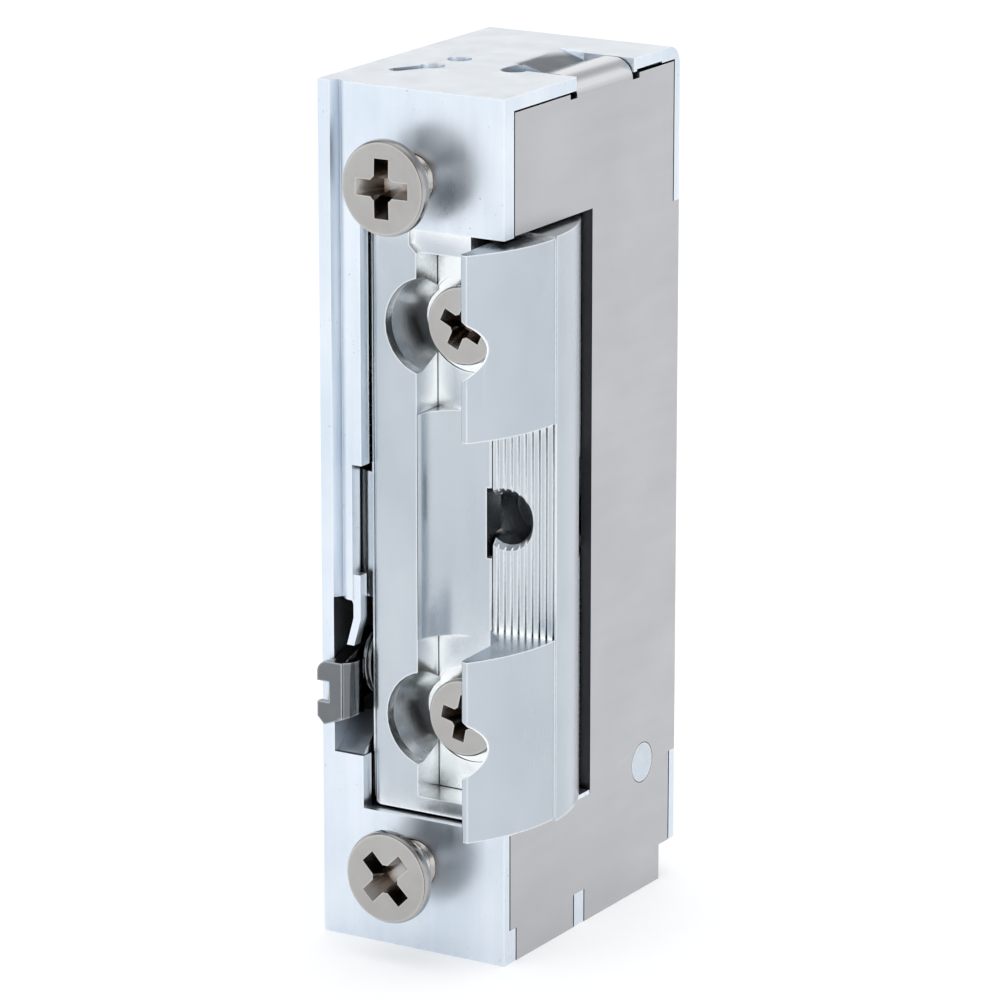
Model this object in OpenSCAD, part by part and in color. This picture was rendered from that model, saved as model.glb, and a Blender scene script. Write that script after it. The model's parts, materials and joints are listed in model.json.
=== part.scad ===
// Electric door strike, compact body with a swinging radius keeper.
// Millimetres. +Z runs along the body, -Y faces the faceplate, +X is the side the keeper opens to.
// The origin is on the faceplate plane, in the middle of the body's width and height.

/* [Body] */
// Width of the body across the keeper side
body_w = 16; // [16:0.1:17]
// Depth of the body behind the faceplate plane
body_d = 25.8; // [25.8:0.1:28]
// Height of the body
body_h = 66; // [66:0.1:70]
// Thickness of the cast left wall
wall_t = 1.07; // [1:0.01:1.1]
// Thickness of the sheet cover
cover_t = 0.9; // [0.8:0.05:0.95]
// Height of each solid end block
block_h = 10.4; // [10.4:0.1:10.6]

/* [Keeper] */
// Outer radius of the keeper about its pivot
keeper_r = 13.9; // [13.7:0.05:13.9]
// Distance from the faceplate plane to the lips' free edge
lip_reach = 4; // [3.6:0.1:4]
// Height of each lip
lip_h = 13.95; // [13:0.05:14.2]
// Height of the open window between the lips
lip_window = 16.54; // [16.3:0.02:16.6]
// Angle the keeper swings open
keeper_swing = 45; // [40:1:45]

/* [Screws] */
// Distance from the middle to each faceplate screw
faceplate_screw_z = 26.3; // [26:0.1:27]
// Nominal radius of the faceplate screws
faceplate_screw_r = 2; // [1.9:0.05:2]
// Distance from the middle to each insert screw
insert_screw_z = 15.1; // [15:0.05:15.3]

/* [Magnet] */
// Outer radius of the winding
coil_r = 3.4; // [3.2:0.1:3.4]
// Length of the bobbin
coil_len = 19.5; // [17:0.5:19.5]

/* [Hidden] */
$fn = 64;
hull_fn = 32;
wire_sides = 8;
eps = 0.01;
far = 40;
// How far a cutting shape starts outside the surface it cuts
over = 1;
// Gap that keeps two seated pieces from sharing a face
seat_gap = 0.02;
// Room around a screw, and past the end of a pin
screw_clear = 0.15;
pin_end_gap = 0.1;

// Body
half_w = body_w / 2;
half_h = body_h / 2;
opening_half = half_h - block_h;
inner_left = -half_w + wall_t;
cover_seat = half_w - cover_t;
back_wall_t = 1.1;
chamber_front = 12.6;
chamber_back = body_d - back_wall_t;
end_wall_t = 1.3;
edge_round = 1.6;
foot_step_y = 23.45;
foot_step_z = -half_h + 2.8;
cover_gap = 0.15;
cover_play = 0.05;
rear_slot_y = [19.2, 23];
rear_slot_h = 0.9;
shelf_t = 1.2;
shelf_gap = 0.3;
faceplate_hole_depth = 10.5;

// Cover outline in Y and Z
front_rim = 1.5;
lower_rim = 0.9;
foot_rim = 1.8;
foot_rim_z = -half_h + 2.6;
cover_top = half_h - 1.2;
back_top_rim = half_h - 0.9;
back_rim_y = 24.84;
cutout_y = 12.7;
cutout_top = 22.7;
cutout_bottom = -22.9;
back_rim_top_z = 21;
notch_y = [10.2, 11.9];
tab_y = [10.4, 18.6];
tab_bend_r = 1.6;
tab_reach = 1.6;
// Centre of the tab's bend in X and Z, and the hook that goes down into the slot
tab_fold = [half_w - tab_bend_r, half_h - tab_bend_r];
tab_crest_x = tab_fold[0] - 0.8;
hook_x = [tab_fold[0] - tab_reach - cover_t, tab_fold[0] - tab_reach];
hook_y = [tab_y[0] + 0.1, tab_y[1] - 0.6];
hook_z = [half_h - 2.4, half_h - 0.55];
hook_slope_run = 0.2;
hook_seat_z = hook_z[1] - cover_t - 0.1;
hook_slot_x = [hook_x[0] - 0.25, hook_x[1] + 0.2];
hook_slot_y = [tab_y[0] - cover_gap, tab_y[1] + cover_gap];
hook_slot_bottom = hook_z[0] - 0.3;
// Sloping face that leads down to the slot, and the round pocket at its front end
ramp_x = [1.1, hook_slot_x[0]];
ramp_y = [12.4, 19.4];
ramp_drop = 0.65;
pocket_from = [2.7, 10.2];
pocket_to = [2.9, 13];
pocket_r = 1.05;
pocket_depth = 1.6;
rivet_pos = [20.7, -22.65];
rivet_r = 1.55;
rivet_gap = 0.06;
rivet_head_r = 2.3;
rivet_head_t = 0.4;

// Front flange beside the keeper's arm
flange_t = 1.1;
flange_x = -4.38;
flange_notch_x = -5.23;
release_window_z = [-18.5, -6.4];
flange_notch_z = [release_window_z[1] - 0.1, 4.1];
// Cast spur that runs from the flange's end down beside the release lever's window
spur_x = [flange_notch_x, -4.6];
spur_y = [0.1, 0.95];
spur_z = [-9.95, -7.8, -4.4];
spur_lean = 0.6;
spur_root = 0.3;
// Cast slope at the foot of that window, in Y and Z
window_slope_x = -4.6;
window_slope_y = [0.3, 3.2];
window_slope_z = [-18.6, -15.9];
// Groove between the left wall's front edge and the block, whose own edge is rounded
edge_groove_x = -6.5;
edge_groove_depth = 0.7;
edge_groove_round = 1.1;

// Holes in the top face
keyhole_pos = [-4.8, 5.9];
keyhole_eye_pos = [-3.3, 8.4];
keyhole_slot_r = 0.6;
keyhole_eye_r = 1;
keyhole_depth = 3;
retaining_y = 5.65;
retaining_z = 31.3;
retaining_r = 0.5;
retaining_end_x = keyhole_eye_pos[0] + 0.6;
upper_pin_z = [1, 31.9];
top_hole_pos = [-3, 11.8];
top_hole_r = 0.95;

// Keeper
pivot = [-4, 4];
hub_r = 2.7;
keeper_half_h = opening_half - 0.2;
pin_r = 1.25;
pin_fit = 0.04;
arm_front_y = 1;
arm_right_x = -0.15;
arm_left_x = -4.25;
arm_edge_r = 0.7;
arm_corner_r = 0.9;
arm_steps = 6;
floor_y = 4;
serration_y = 4.3;
recess_y = 6.05;
insert_edge_x = 4.4;
back_angle = 56;
lip_inner_x = 6.35;
lip_tip_x = 6.62;
lip_edge_r = 0.35;
lip_step = 0.12;
lip_root_rise = 1.8;
insert_gap = 0.05;
end_wall_overlap = 0.5;
end_wall_top = 1.8;
end_wall_bottom = 1.2;
upper_step = 0.35;
upper_step_w = 0.6;
window_fillet_r = 3;
window_block_z = [-9, 8.4];
groove_pitch = 0.6;
groove_depth = 0.22;
groove_count = 9;
groove_start = 0.45;
groove_half_w = [0.1, 0.04];
groove_end = lip_window / 2 + 1;
adjuster_pos = [5.6, 0.4];
adjuster_notch = [0.33, 2.7];
adjuster_r = 2;
adjuster_depth = 5;
adjuster_chamfer = 0.4;
spring_gap_z = [3.4, 11.2];
spring_room_r = 2.25;
hub_gap_z = [-18.7, -6.3];
relief_left = 0.25;
relief_rise = 0.3;
slot_x = [0.9, 2.7];
slot_r = 3.75;
slot_step_y = 1.9;
slot_floor_r = 2.4;
slot_edge_depth = 0.15;
slot_floor_y = floor_y + 0.7;
driver_bite_x = 5.6;
driver_bite_r = 2.5;
driver_bite_y = 1.5;

// Springs: mean radius, wire radius, turns and pitch
keeper_coil = [1.75, 0.3, 8, 0.8];
lever_coil = [1.45, 0.22, 4, 0.55];
armature_coil = [0.4, 0.12, 4, 0.5];
release_coil = [2.7, 0.2, 2, 0.42];

// Insert screws
insert_screw_x = 2.7;
insert_head_r = 3;
insert_shank_r = 1.6;
insert_head_y = 2.6;
insert_cone_y = 3.1;
insert_neck_y = 4.6;
insert_tip_y = 10.5;
insert_tip_room = 0.5;
insert_head_clear = 0.2;

// Cross recesses: arm, width and depth
insert_recess = [1.9, 1, 1.5];
insert_recess_turn = 20;
faceplate_recess = [2.3, 1.25, 1.7];
faceplate_recess_turn = [45, 0];

// Faceplate screws
faceplate_screw_x = 0;
faceplate_head_r = 3.58;
faceplate_head_y = -4;
faceplate_cone_y = -3.55;
faceplate_neck_y = faceplate_cone_y + faceplate_head_r - faceplate_screw_r;
faceplate_tip_y = 9;
thread_gap = 0.02;

// Locking lever
lever_pivot = [21.5, 12];
lever_x = [0.5, 2.5];
lever_turn = 14.6;
lever_pin_r = 1;
lever_hub_r = 1.95;
lever_arm_y = [18.2, 20.2];
lever_neck_z = [8, 9];
lever_neck_angle = -15;
lever_foot_z = -3.4;
pin_stub = 0.6;
lever_spring_x = -2.1;
nose_y = 15.6;
nose_r = 0.8;
nose_z = [-1.5, 3.5];
nose_clear = 1.1;
cam_z = [-3.4, 4.4];
cam_step = 5;
cam_exit_y = 12;
cam_left_r = keeper_r - 1;
boss_end_x = -2.5;

// Magnet
coil_pos = [3, 20.95];
coil_top = -8.2;
bobbin_flange = 0.9;
bobbin_flange_r = 3.65;
bobbin_wall = 0.5;
core_r = 1.6;
pole_top = -7.7;
yoke_x = -1.9;
yoke_t = 1;
yoke_y = [18.7, 24.3];
yoke_end_x = 6.3;
yoke_bottom = coil_top - coil_len - yoke_t;
yoke_back_top = coil_top - 0.4;
bobbin_bottom = yoke_bottom + yoke_t + seat_gap;
ear_t = 0.8;
ear_half_w = 0.9;
ear_top = -4.4;
armature_hinge = [-1.4, -5.4];
armature_pin_r = 0.5;
armature_hub_r = 0.95;
armature_t = 1;
armature_spring_pos = [5.2, 20.2];
armature_spring_lift = 0.15;
armature_y = [19.65, 23.35];
armature_end_x = 5.5;
catch_y = [20.9, 22.3];
catch_x = [2.2, 3.9];
catch_z = [2.4, 4];
catch_stem_x = 3.1;

// Terminals
terminal_x = 5.5;
terminal_y = [19.2, 25.5];
terminal_z = [18.6, 30.4];
terminal_gap = 0.15;
pole_x = [-2.6, 2.6];
clamp_size = [3.4, 3.6, 4];
clamp_y = 20.6;
clamp_z = 26.6;
clamp_gap = 0.05;
entry_z = 21.6;
entry_r = 1.2;
entry_floor_y = terminal_y[0] + 1.5;
wire_slot_half_w = 0.9;
wire_slot_y = [clamp_y + 0.6, clamp_y + 2.4];
wire_slot_half_h = 0.5;
terminal_screw_r = 1.3;
terminal_thread_r = 0.8;
terminal_screw_y = [clamp_y + 1.4, clamp_y + 3.7, terminal_y[1] - 0.25];
driver_slot_half_w = 0.2;
driver_slot_depth = 0.5;
lead_x = 6.2;
lead_y = [22.7, 23.8];
lead_r = 0.4;
lead_z = [coil_top + 0.05, terminal_z[0] + 2];
diode_z = 16.6;
diode_y = 22.4;
diode_r = 0.9;
diode_half = 2;
diode_lead_r = 0.3;
diode_lead_x = diode_half + 0.8;

// Release lever
release_pivot = [4.2, -11.85];
release_x = [-6.7, -5.6];
release_hub_r = 2.2;
release_pin_r = 0.8;
release_tab_z = [-16.15, -11.15];
release_tab_y = [-1.05, -0.5];
release_tab_x = -7.8;
release_tab_round = 0.9;
release_bend_r = 1.3;
release_bend_x = -4.95;
release_bend_y = 1.05;
release_bend_foot = -15.35;
release_notch_x = -6.75;
release_notch_z = [-14.35, -12.75];
release_tab_foot = 0.6;
release_arm_start = 2;
release_arm_rise = [-1.2, 1.4];
release_upright_y = 18.5;
release_rear_y = 19.9;
release_rear_z = [-1.2, -0.4];
release_finger_x = 0.3;
release_pin_end_x = -4.4;
release_spring_x = -5.35;

// A box from one corner to the other
module span_box(low, high) {
    translate(low)
        cube(high - low);
}

// A round bar along Y
module bar_y(x, z, r, y0, y1, r_end = -1) {
    translate([x, y0, z])
        rotate([-90, 0, 0])
            cylinder(h = y1 - y0, r1 = r, r2 = r_end < 0 ? r : r_end);
}

// A round bar along X
module bar_x(y, z, r, x0, x1) {
    translate([x0, y, z])
        rotate([0, 90, 0])
            cylinder(h = x1 - x0, r = r);
}

// A flat profile drawn in Y and Z, given thickness along X
module plate_x(x0, x1) {
    translate([x0, 0, 0])
        rotate([90, 0, 90])
            linear_extrude(height = x1 - x0)
                children();
}

// A flat profile drawn in X and Y, given height along Z
module slab_z(z0, z1) {
    translate([0, 0, z0])
        linear_extrude(height = z1 - z0)
            children();
}

// Points of one ring of wire on a helix along Z
function coil_ring(radius, wire_r, angle, z) = [
    for (side = [0 : wire_sides - 1])
        let (a = 360 * side / wire_sides, out = radius + wire_r * cos(a))
            [out * cos(angle), out * sin(angle), z + wire_r * sin(a)]
];

// A helical wire along Z, starting on the X axis: spec is mean radius, wire radius, turns and pitch
module coil_spring(spec, steps = 20) {
    turns = spec[2];
    rings = round(turns * steps);
    points = [
        for (i = [0 : rings])
            each coil_ring(spec[0], spec[1], 360 * turns * i / rings, spec[3] * turns * i / rings)
    ];
    sides = [
        for (i = [0 : rings - 1], s = [0 : wire_sides - 1])
            let (t = (s + 1) % wire_sides, a = i * wire_sides, b = a + wire_sides)
                each [[a + s, b + s, a + t], [a + t, b + s, b + t]]
    ];
    first = [[for (s = [0 : wire_sides - 1]) s]];
    last = [[for (s = [wire_sides - 1 : -1 : 0]) rings * wire_sides + s]];
    polyhedron(points = points, faces = concat(sides, first, last), convexity = 8);
}

// The cover's outline in Y and Z, grown by a gap for the seat in the housing
module cover_outline(grow = 0) {
    difference() {
        union() {
            translate([front_rim - grow, opening_half - over])
                square([back_rim_y - front_rim + 2 * grow, cover_top - opening_half + over + grow]);
            translate([cutout_y, cutout_bottom - over])
                square([back_rim_y - cutout_y + grow, cover_top - cutout_bottom + over + grow]);
            translate([back_rim_y - over, cutout_bottom])
                square([body_d - back_rim_y + over, back_rim_top_z - cutout_bottom]);
            translate([lower_rim - grow, foot_rim_z - eps])
                square([back_rim_y - lower_rim + 2 * grow, cutout_bottom - foot_rim_z]);
            translate([foot_rim - grow, -half_h])
                square([foot_step_y - foot_rim + grow, foot_rim_z + half_h]);
            translate([tab_y[0] - grow, cover_top - over])
                square([tab_y[1] - tab_y[0] + 2 * grow, half_h - cover_top + over]);
        }
        translate([-over, cutout_bottom + grow])
            square([cutout_y + over - grow, cutout_top - cutout_bottom - 2 * grow]);
        translate([notch_y[0] + grow, -half_h - over])
            square([notch_y[1] - notch_y[0] - 2 * grow, foot_rim_z + half_h + over]);
        translate([foot_step_y, -half_h - over])
            square([body_d, foot_step_z + half_h + over]);
    }
}

// The body's outer block, with its long back edges and its back corners rounded
module body_block() {
    intersection() {
        slab_z(-half_h, half_h) {
            translate([-half_w, 0])
                square([body_w, body_d - edge_round]);
            translate([-half_w + edge_round, 0])
                square([body_w - edge_round, body_d]);
            translate([-half_w + edge_round, body_d - edge_round])
                circle(r = edge_round);
        }
        plate_x(-half_w, half_w)
            difference() {
                translate([0, -half_h])
                    square([body_d, body_h]);
                back_corner_cut(body_d, half_h, 1);
                translate([foot_step_y, -half_h - over])
                    square([body_d, foot_step_z + half_h + over]);
                back_corner_cut(foot_step_y, -half_h, -1);
            }
    }
}

// What a rounded corner at the back removes, in Y and Z
module back_corner_cut(y, z, side) {
    difference() {
        translate([y - edge_round, side > 0 ? z - edge_round : z - over])
            square([edge_round + eps, edge_round + over]);
        translate([y - edge_round, z - side * edge_round])
            circle(r = edge_round);
    }
}

// Everything the keeper and the mechanism need inside the body
module inner_space() {
    span_box([inner_left, chamber_front, -half_h + end_wall_t], [far, chamber_back, half_h - end_wall_t]);
    span_box([inner_left, flange_t, -opening_half], [far, chamber_back, opening_half]);
    span_box([flange_x, -over, -opening_half], [far, flange_t + eps, opening_half]);
    span_box([flange_notch_x, -over, flange_notch_z[0]], [0, flange_t + eps, flange_notch_z[1]]);
    span_box([inner_left, -over, release_window_z[0]], [0, flange_t + eps, release_window_z[1]]);
}

// The slot that the cover's tab hooks into, and the small holes in the top
module top_openings() {
    span_box([hook_slot_x[0], hook_slot_y[0], hook_slot_bottom], [hook_slot_x[1], hook_slot_y[1], far]);
    tab_seat(hook_x[0], tab_crest_x + hook_slope_run, hook_seat_z);
    tab_seat(tab_crest_x, far, half_h - cover_t - seat_gap);
    ramp();
    top_slot(pocket_from, pocket_to, pocket_r, pocket_depth);
    // Rounded seat under the tab's bend
    along_tab(cover_gap)
        translate(tab_fold)
            difference() {
                square(far);
                circle(r = tab_bend_r - cover_t - cover_play);
            }
    top_slot(keyhole_pos, keyhole_eye_pos, keyhole_slot_r, keyhole_depth);
    translate([keyhole_eye_pos[0], keyhole_eye_pos[1], half_h - keyhole_depth])
        cylinder(h = far, r = keyhole_eye_r);
    translate([top_hole_pos[0], top_hole_pos[1], half_h - keyhole_depth])
        cylinder(h = far, r = top_hole_r);
}

// Sunk seat for one stretch of the tab
module tab_seat(x0, x1, bottom) {
    span_box([x0, tab_y[0] - cover_gap, bottom], [x1, tab_y[1] + cover_gap, far]);
}

// Sloping face beside the hook, cut into the top
module ramp() {
    translate([0, ramp_y[1], 0])
        rotate([90, 0, 0])
            linear_extrude(height = ramp_y[1] - ramp_y[0])
                polygon([
                    [2 * ramp_x[0] - ramp_x[1], half_h + ramp_drop], [ramp_x[1] + eps, half_h - ramp_drop],
                    [ramp_x[1] + eps, far]
                ]);
}

// A profile drawn in X and Z, carried along the tab's width
module along_tab(grow = 0) {
    translate([0, tab_y[1] + grow, 0])
        rotate([90, 0, 0])
            linear_extrude(height = tab_y[1] - tab_y[0] + 2 * grow)
                children();
}

// A straight slot through the top face between two points
module top_slot(from, to, r, depth) {
    reach = to - from;
    translate([from[0], from[1], half_h - depth])
        rotate([0, 0, atan2(reach[1], reach[0])]) {
            translate([0, -r, 0])
                cube([norm(reach), 2 * r, far]);
            cylinder(h = far, r = r);
        }
}

// Spur that hangs from the flange and leans left at its foot
module window_spur() {
    translate([0, spur_y[1], 0])
        rotate([90, 0, 0])
            linear_extrude(height = spur_y[1] - spur_y[0])
                polygon([
                    [spur_x[0] - spur_root, spur_z[2]], [spur_x[1], spur_z[2]], [spur_x[1], spur_z[1]],
                    [spur_x[1] - spur_lean, spur_z[0]], [spur_x[0] - spur_lean, spur_z[0]],
                    [spur_x[0], spur_z[1]], [spur_x[0], release_window_z[1] - spur_root],
                    [spur_x[0] - spur_root, release_window_z[1] + spur_root]
                ]);
}

// Slope that closes the release lever's window towards its foot
module window_slope() {
    plate_x(inner_left - eps, window_slope_x)
        polygon([
            [window_slope_y[0], window_slope_z[0]], [window_slope_y[1], window_slope_z[0]],
            [window_slope_y[1], window_slope_z[1]]
        ]);
}

// Section of the groove beside the left wall, in X and Y
module edge_groove() {
    difference() {
        polygon([
            [inner_left, -over], [inner_left, 0], [edge_groove_x, edge_groove_depth],
            [edge_groove_x + edge_groove_round, edge_groove_depth], [edge_groove_x + edge_groove_round, -over]
        ]);
        translate([edge_groove_x + edge_groove_round, edge_groove_round])
            circle(r = edge_groove_round);
    }
}

// Zinc die-cast housing
module housing() {
    color([0.80, 0.84, 0.88])
        difference() {
            union() {
                difference() {
                    body_block();
                    plate_x(cover_seat - cover_play, far)
                        cover_outline(cover_gap);
                    inner_space();
                }
                // Boss that carries the locking lever's pin
                bar_x(lever_pivot[0], lever_pivot[1], lever_hub_r, inner_left - eps, boss_end_x);
                window_spur();
                window_slope();
                // Shelf that carries the magnet's yoke
                span_box([inner_left - eps, yoke_y[0], yoke_bottom - shelf_t],
                    [cover_seat - shelf_gap, chamber_back + eps, yoke_bottom - seat_gap]);
            }
            slab_z(release_window_z[1] - over, far)
                edge_groove();
            // Threaded holes for the faceplate screws
            for (side = [-1, 1])
                bar_y(faceplate_screw_x, side * faceplate_screw_z, faceplate_screw_r + thread_gap,
                    -over, faceplate_hole_depth);
            // Pivot holes for the keeper's pins
            translate([pivot[0], pivot[1], opening_half - over])
                cylinder(h = upper_pin_z[1] + pin_end_gap - opening_half + over, r = pin_r + pin_fit / 2);
            translate([pivot[0], pivot[1], -half_h - over])
                cylinder(h = block_h + 2 * over, r = pin_r + pin_fit / 2);
            bar_x(lever_pivot[0], lever_pivot[1], lever_pin_r + pin_fit / 2,
                -half_w - over, boss_end_x + over);
            bar_x(release_pivot[0], release_pivot[1], release_pin_r + pin_fit / 2,
                -half_w - over, inner_left + over);
            top_openings();
            // Slot under the top's rear rim, on the cover side
            span_box([cover_seat - over, rear_slot_y[0], back_top_rim - rear_slot_h],
                [far, rear_slot_y[1], back_top_rim]);
            // Opening at the back for the terminals
            span_box([-terminal_x - terminal_gap, chamber_back - over, terminal_z[0] - terminal_gap],
                [terminal_x + terminal_gap, far, terminal_z[1] + terminal_gap]);
            bar_x(retaining_y, retaining_z, retaining_r + pin_fit / 2,
                -half_w - over, retaining_end_x + pin_end_gap);
        }
}

// Sheet steel side cover with its bent top tab
module side_cover() {
    color([0.76, 0.77, 0.78]) {
        difference() {
            union() {
                difference() {
                    plate_x(cover_seat, half_w)
                        cover_outline();
                    // The tab's bend takes the square edge away
                    span_box([cover_seat - over, tab_y[0] - over, tab_fold[1]], [far, tab_y[1] + over, far]);
                }
                cover_bend();
            }
            bar_x(rivet_pos[0], rivet_pos[1], rivet_r + rivet_gap, cover_seat - over, far);
        }
    }
}

// The quarter-round bend, the flat on top and the hook that goes down into the slot
module cover_bend() {
    along_tab() {
        translate(tab_fold)
            intersection() {
                difference() {
                    circle(r = tab_bend_r);
                    circle(r = tab_bend_r - cover_t);
                }
                square(tab_bend_r);
            }
        // Flat crest, then the slope down to the hook
        polygon([
            [tab_fold[0] + eps, half_h], [tab_crest_x, half_h], [hook_x[0], hook_z[1]],
            [hook_x[0], hook_z[1] - cover_t], [hook_x[1], hook_z[1] - cover_t + hook_slope_run],
            [tab_crest_x + hook_slope_run, half_h - cover_t], [tab_fold[0] + eps, half_h - cover_t]
        ]);
        translate([cover_seat, tab_fold[1] - eps])
            square([cover_t, 2 * eps]);
    }
    span_box([hook_x[0], hook_y[0], hook_z[0]], [hook_x[1], hook_y[1], hook_z[1] - cover_t + eps]);
}

// Rivet that fastens the cover
module cover_rivet() {
    color([0.72, 0.75, 0.79]) {
        bar_x(rivet_pos[0], rivet_pos[1], rivet_r, cover_seat - rivet_head_t, half_w);
        bar_x(rivet_pos[0], rivet_pos[1], rivet_head_r, cover_seat - rivet_head_t, cover_seat - seat_gap);
    }
}

// Outline of the keeper's cast body in X and Y
module keeper_section() {
    reach = 2 * keeper_r;
    edge = pivot + reach * [cos(back_angle), sin(back_angle)];
    intersection() {
        translate(pivot)
            circle(r = keeper_r);
        polygon([
            each [for (i = [0 : arm_steps])
                [arm_left_x + arm_edge_r, arm_front_y + arm_edge_r]
                    - arm_edge_r * [cos(90 * i / arm_steps), sin(90 * i / arm_steps)]],
            [arm_right_x, arm_front_y], [arm_right_x, recess_y],
            [insert_edge_x + insert_gap, recess_y], [insert_edge_x + insert_gap, serration_y],
            [far, serration_y], [far, edge[1]], edge, pivot, [arm_left_x, pivot[1]]
        ]);
    }
    translate(pivot)
        circle(r = hub_r);
}

// Part of the section that stays beside the coils on the pivot line: nothing left of or behind the hub
module hub_relief() {
    polygon([
        [pivot[0] - relief_left, -far], [pivot[0] - relief_left, pivot[1]], pivot + [0, relief_rise],
        pivot + [far, far + relief_rise], [-far, far], [-far, -far]
    ]);
}

// How far the nose stands from the pivot's line when the keeper has turned by an angle
function nose_back(turn) =
    let (a = lever_turn * turn / keeper_swing, dy = nose_y - lever_pivot[0], dz = nose_z[1] - lever_pivot[1])
        lever_pivot[0] + dy * cos(a) - dz * sin(a);

// A point of the keeper's cam, which lifts the nose as the keeper turns
function cam_point(turn) =
    let (nose = [(lever_x[0] + lever_x[1]) / 2, nose_back(turn)] - pivot,
         a = atan2(nose[1], nose[0]) - turn, r = norm(nose) - nose_clear)
        pivot + r * [cos(a), sin(a)];

// Cast body of the keeper
module keeper_body() {
    color([0.76, 0.80, 0.84])
        difference() {
            slab_z(-keeper_half_h, keeper_half_h)
                keeper_section();
            // Room for the release lever and for the keeper's spring
            for (gap = [hub_gap_z, spring_gap_z])
                slab_z(gap[0], gap[1])
                    hub_relief();
            slab_z(spring_gap_z[0], spring_gap_z[1])
                translate(pivot)
                    circle(r = spring_room_r);
            // Cam track for the locking lever's nose
            slab_z(cam_z[0], cam_z[1])
                polygon(concat(
                    [for (turn = [0 : cam_step : keeper_swing]) cam_point(turn)],
                    [pivot + [far, cam_exit_y], pivot + [far, far], pivot + [0, far], pivot + [0, cam_left_r]]
                ));
            serrations();
            // Threaded hole with a wide chamfer, between the lips
            bar_y(adjuster_pos[0], adjuster_pos[1], adjuster_r,
                serration_y - over, serration_y + adjuster_depth);
            bar_y(adjuster_pos[0], adjuster_pos[1], adjuster_r + adjuster_chamfer,
                serration_y - eps, serration_y + adjuster_chamfer, adjuster_r);
            for (side = [-1, 1]) {
                bar_y(insert_screw_x, side * insert_screw_z, insert_shank_r + thread_gap,
                    floor_y, insert_tip_y + insert_tip_room);
                screw_slot(side);
            }
            lower_corner();
            upper_relief();
            translate([pivot[0], pivot[1], -over])
                cylinder(h = far, r = pin_r + pin_fit);
            translate([pivot[0], pivot[1], -far])
                cylinder(h = far + hub_gap_z[0] + over, r = pin_r + pin_fit);
        }
    color([0.76, 0.80, 0.84]) {
        difference() {
            end_wall(keeper_half_h - end_wall_top, keeper_half_h);
            upper_relief();
        }
        end_wall(-keeper_half_h, -keeper_half_h + end_wall_bottom);
    }
}

// Rounds the arm's lower left corner, seen from the front
module lower_corner() {
    centre = [arm_left_x + arm_corner_r, -keeper_half_h + arm_corner_r];
    translate([0, arm_front_y + arm_corner_r, 0])
        rotate([90, 0, 0])
            linear_extrude(height = far)
                difference() {
                    translate(centre - [far, far])
                        square(far);
                    translate(centre)
                        circle(r = arm_corner_r);
                }
}

// Shallow step in the arm and the upper end wall
module upper_relief() {
    z0 = keeper_half_h - end_wall_top;
    translate([0, arm_front_y + upper_step, 0])
        rotate([90, 0, 0])
            linear_extrude(height = far)
                polygon([
                    [arm_right_x, z0 - eps], [arm_right_x - upper_step_w, z0 + upper_step_w],
                    [arm_right_x - upper_step_w, far], [far, far], [far, z0 - eps]
                ]);
}

// Wall that closes the keeper's pocket at one end
module end_wall(z0, z1) {
    span_box([arm_right_x - end_wall_overlap, arm_front_y, z0],
        [insert_edge_x - insert_gap - eps, recess_y + end_wall_overlap, z1]);
}

// Fine vertical grooves on the keeper's clamping face
module serrations() {
    slab_z(-groove_end, groove_end)
        for (i = [0 : groove_count - 1])
            translate([insert_edge_x + groove_start + i * groove_pitch, serration_y - eps])
                polygon([
                    [-groove_half_w[0], 0], [groove_half_w[0], 0],
                    [groove_half_w[1], groove_depth], [-groove_half_w[1], groove_depth]
                ]);
}

// Stepped slot around an insert screw's head
module screw_slot(side) {
    straight = [slot_r, slot_r, -far, slot_step_y];
    tapered = [slot_r, slot_floor_r, slot_step_y - eps, slot_floor_y];
    for (step = [straight, tapered])
        hull()
            for (x = slot_x)
                translate([x, step[2], side * insert_screw_z])
                    rotate([-90, 0, 0])
                        cylinder(h = step[3] - step[2], r1 = step[0], r2 = step[1], $fn = hull_fn);
}

// One lip's section in X and Y, between its round free edge and the serrated face
module lip_section() {
    tip = [lip_tip_x + lip_edge_r, -lip_reach + lip_edge_r];
    intersection() {
        translate(pivot)
            circle(r = keeper_r - lip_step);
        union() {
            polygon([
                [lip_tip_x, tip[1]], tip, [far, tip[1]], [far, serration_y],
                [insert_edge_x - eps, serration_y], [insert_edge_x - eps, floor_y],
                [lip_inner_x, floor_y - lip_root_rise]
            ]);
            translate([tip[0], -lip_reach])
                square([far, lip_edge_r + eps]);
            translate(tip)
                circle(r = lip_edge_r);
        }
    }
}

// Screwed radius insert with its two lips
module keeper_insert() {
    color([0.78, 0.81, 0.85])
        difference() {
            union() {
                span_box([arm_right_x + insert_gap, floor_y, -keeper_half_h + end_wall_bottom + insert_gap],
                    [insert_edge_x, recess_y - seat_gap, keeper_half_h - end_wall_top - insert_gap]);
                // Thick middle with a hollow fillet beside the open window
                slab_z(window_block_z[0], window_block_z[1])
                    translate([arm_right_x + insert_gap, arm_front_y])
                        difference() {
                            square([window_fillet_r, floor_y - arm_front_y + eps]);
                            translate([window_fillet_r, 0])
                                circle(r = window_fillet_r);
                        }
                for (side = [-1, 1])
                    translate([0, 0, side * (lip_window + lip_h) / 2])
                        slab_z(-lip_h / 2, lip_h / 2)
                            lip_section();
            }
            // Room for the threaded hole between the lips
            span_box([insert_edge_x - adjuster_notch[0], 0, -adjuster_notch[1]],
                [far, far, adjuster_notch[1]]);
            for (side = [-1, 1]) {
                screw_slot_floor(side);
                bar_y(insert_screw_x, side * insert_screw_z, insert_shank_r + screw_clear,
                    0, recess_y + over);
                bar_y(driver_bite_x, side * insert_screw_z, driver_bite_r, -lip_reach - over, driver_bite_y);
            }
        }
}

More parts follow.
